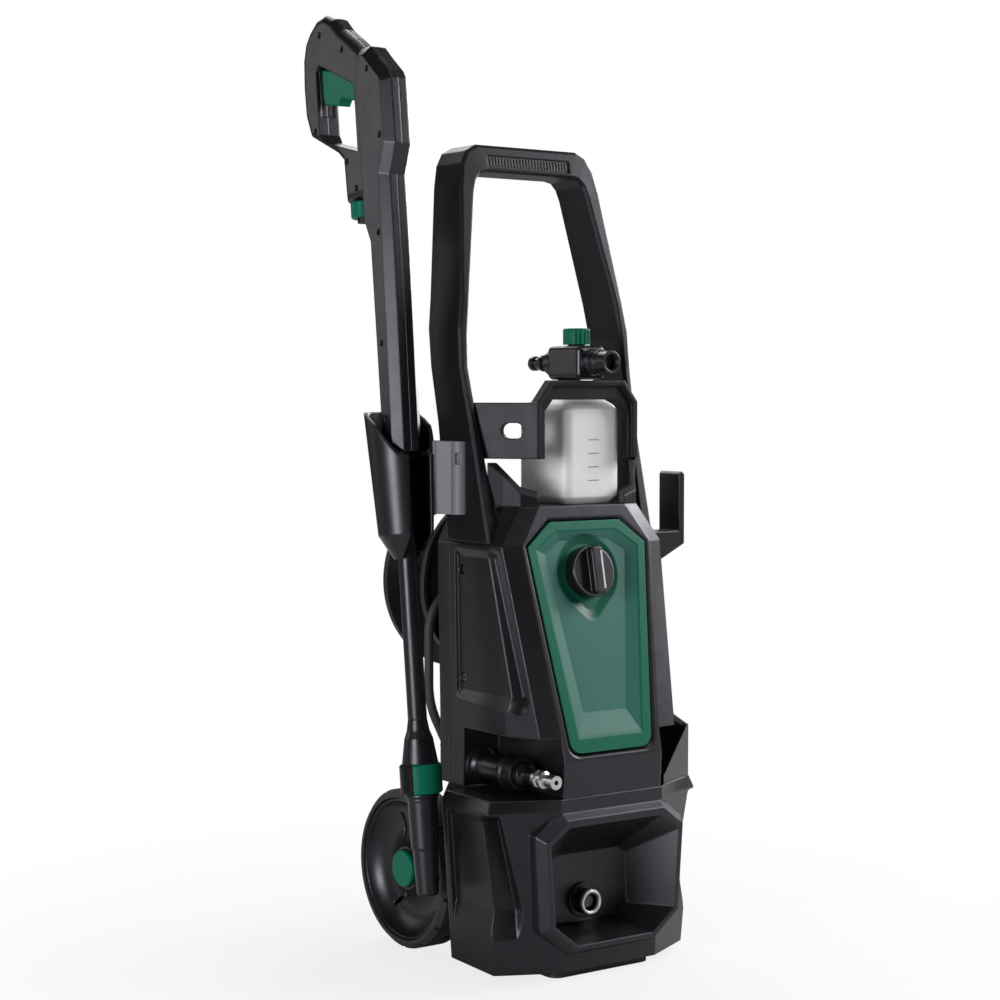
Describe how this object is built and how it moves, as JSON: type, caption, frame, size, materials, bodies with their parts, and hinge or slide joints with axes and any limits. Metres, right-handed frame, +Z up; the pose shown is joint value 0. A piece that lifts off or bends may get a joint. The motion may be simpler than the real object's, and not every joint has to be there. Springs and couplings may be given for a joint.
{
  "type": "pressure washer",
  "caption": "Upright electric pressure washer on a wheeled base with tall loop handle, holstered spray gun and lance, foam bottle, rotary switch on a leaning panel, and rear hose reel.",
  "frame": {"origin": "on the floor, on the body's plane of symmetry, inside the foot pad's rest face", "axes": "+Z up, front towards -Y, +X to the right as seen from the front"},
  "size_m": [0.35, 0.362, 1.0092],
  "materials": {
    "black_plastic": "moulded, fine grain",
    "grey_plastic": "moulded, lighter grey",
    "green_plastic": "moulded, satin",
    "clear_plastic": "translucent natural polyethylene",
    "tyre_rubber": "moulded tread",
    "soft_rubber": "matt",
    "steel": "plain",
    "brass": "machined",
    "aluminium": "cast"
  },
  "bodies": {
    "chassis": {"front_shell": "black_plastic", "rear_shell": "black_plastic", "base_shell": "black_plastic", "foot_pad": "soft_rubber", "control_panel": "green_plastic", "switch_box": "black_plastic", "handle": "black_plastic", "grip_insert": "soft_rubber", "bottle_bracket": "black_plastic", "lance_holder": "black_plastic", "holder_arm": "grey_plastic", "cord_hook": "black_plastic", "axle": "steel", "reel_bracket": "black_plastic", "feed_fittings": "black_plastic", "feed_hose": "soft_rubber", "outlet_body": "black_plastic", "outlet_collar": "black_plastic", "outlet_nipple": "steel", "outlet_pipe": "steel", "water_inlet": "black_plastic", "inlet_ring": "aluminium", "inlet_filter": "grey_plastic", "motor_housing": "aluminium", "motor_bearings": "steel", "stator": "steel", "pump_body": "aluminium", "pistons": "steel", "pump_head": "aluminium", "capacitor": "grey_plastic", "cord_gland": "soft_rubber", "body_screws": "steel"},
    "wheel_left": {"wheel_rim_left": "black_plastic", "tyre_left": "tyre_rubber", "hub_cap_left": "green_plastic"},
    "wheel_right": {"wheel_rim_right": "black_plastic", "tyre_right": "tyre_rubber", "hub_cap_right": "green_plastic"},
    "knob": {"switch_knob": "black_plastic"},
    "rotor": {"rotor": "steel"},
    "reel": {"reel_flanges": "black_plastic", "reel_drum": "black_plastic", "crank_arm": "black_plastic"},
    "crank_handle": {"crank_grip": "black_plastic"},
    "gun": {"gun_shell_left": "black_plastic", "gun_shell_right": "black_plastic", "gun_screws": "steel", "gun_valve": "brass", "lance_tube": "black_plastic", "nozzle_body": "black_plastic"},
    "trigger": {"trigger": "green_plastic"},
    "hose_collar": {"hose_collar": "green_plastic"},
    "nozzle_ring": {"nozzle_ring": "green_plastic"},
    "foam_unit": {"foam_bottle": "clear_plastic", "foam_head": "black_plastic", "foam_stem": "black_plastic", "suction_tube": "clear_plastic"},
    "foam_knob": {"foam_knob": "green_plastic"},
    "foam_nozzle": {"foam_nozzle": "black_plastic"}
  },
  "joints": [
    {"name": "wheel_left_spin", "type": "hinge", "parent": "chassis", "child": "wheel_left", "pos_m": [0, 0.089, 0.086], "axis": [1, 0, 0], "continuous": true},
    {"name": "wheel_right_spin", "type": "hinge", "parent": "chassis", "child": "wheel_right", "pos_m": [0, 0.089, 0.086], "axis": [1, 0, 0], "continuous": true},
    {"name": "switch_turn", "type": "hinge", "parent": "chassis", "child": "knob", "pos_m": [0, -0.08589, 0.41461], "axis": [0, -0.9789, 0.2045], "range_deg": [-90, 0]},
    {"name": "motor_spin", "type": "hinge", "parent": "chassis", "child": "rotor", "pos_m": [0, -0.024, 0.2], "axis": [0, 0, 1], "continuous": true},
    {"name": "reel_spin", "type": "hinge", "parent": "chassis", "child": "reel", "pos_m": [0, 0.116, 0.393], "axis": [0, 1, 0], "continuous": true},
    {"name": "crank_handle_spin", "type": "hinge", "parent": "reel", "child": "crank_handle", "pos_m": [0, 0.19, 0.315], "axis": [0, 1, 0], "continuous": true},
    {"name": "gun_lift", "type": "slide", "parent": "chassis", "child": "gun", "axis": [0, 0.108, 0.9942], "range_m": [0, 0.15]},
    {"name": "trigger_pull", "type": "hinge", "parent": "gun", "child": "trigger", "pos_m": [-0.153, 0.1177, 0.93804], "axis": [1, 0, 0], "range_deg": [0, 12], "stiffness_Nm_per_rad": 1, "springref_deg": -11.46},
    {"name": "collar_slide", "type": "slide", "parent": "gun", "child": "hose_collar", "axis": [0, -0.108, -0.9942], "range_m": [0, 0.004], "stiffness_N_per_m": 400, "springref_m": -0.003},
    {"name": "nozzle_turn", "type": "hinge", "parent": "gun", "child": "nozzle_ring", "pos_m": [-0.153, 0.00344, 0.20107], "axis": [0, 0.108, 0.9942], "range_deg": [-45, 45]},
    {"name": "foam_lift", "type": "slide", "parent": "chassis", "child": "foam_unit", "axis": [0, 0, 1], "range_m": [0, 0.1]},
    {"name": "foam_dose", "type": "hinge", "parent": "foam_unit", "child": "foam_knob", "pos_m": [0.025, -0.028, 0.66], "axis": [0, 0, 1], "range_deg": [0, 270]},
    {"name": "foam_fan", "type": "hinge", "parent": "foam_unit", "child": "foam_nozzle", "pos_m": [0.025, -0.077, 0.632], "axis": [0, -1, 0], "range_deg": [0, 90]}
  ]
}
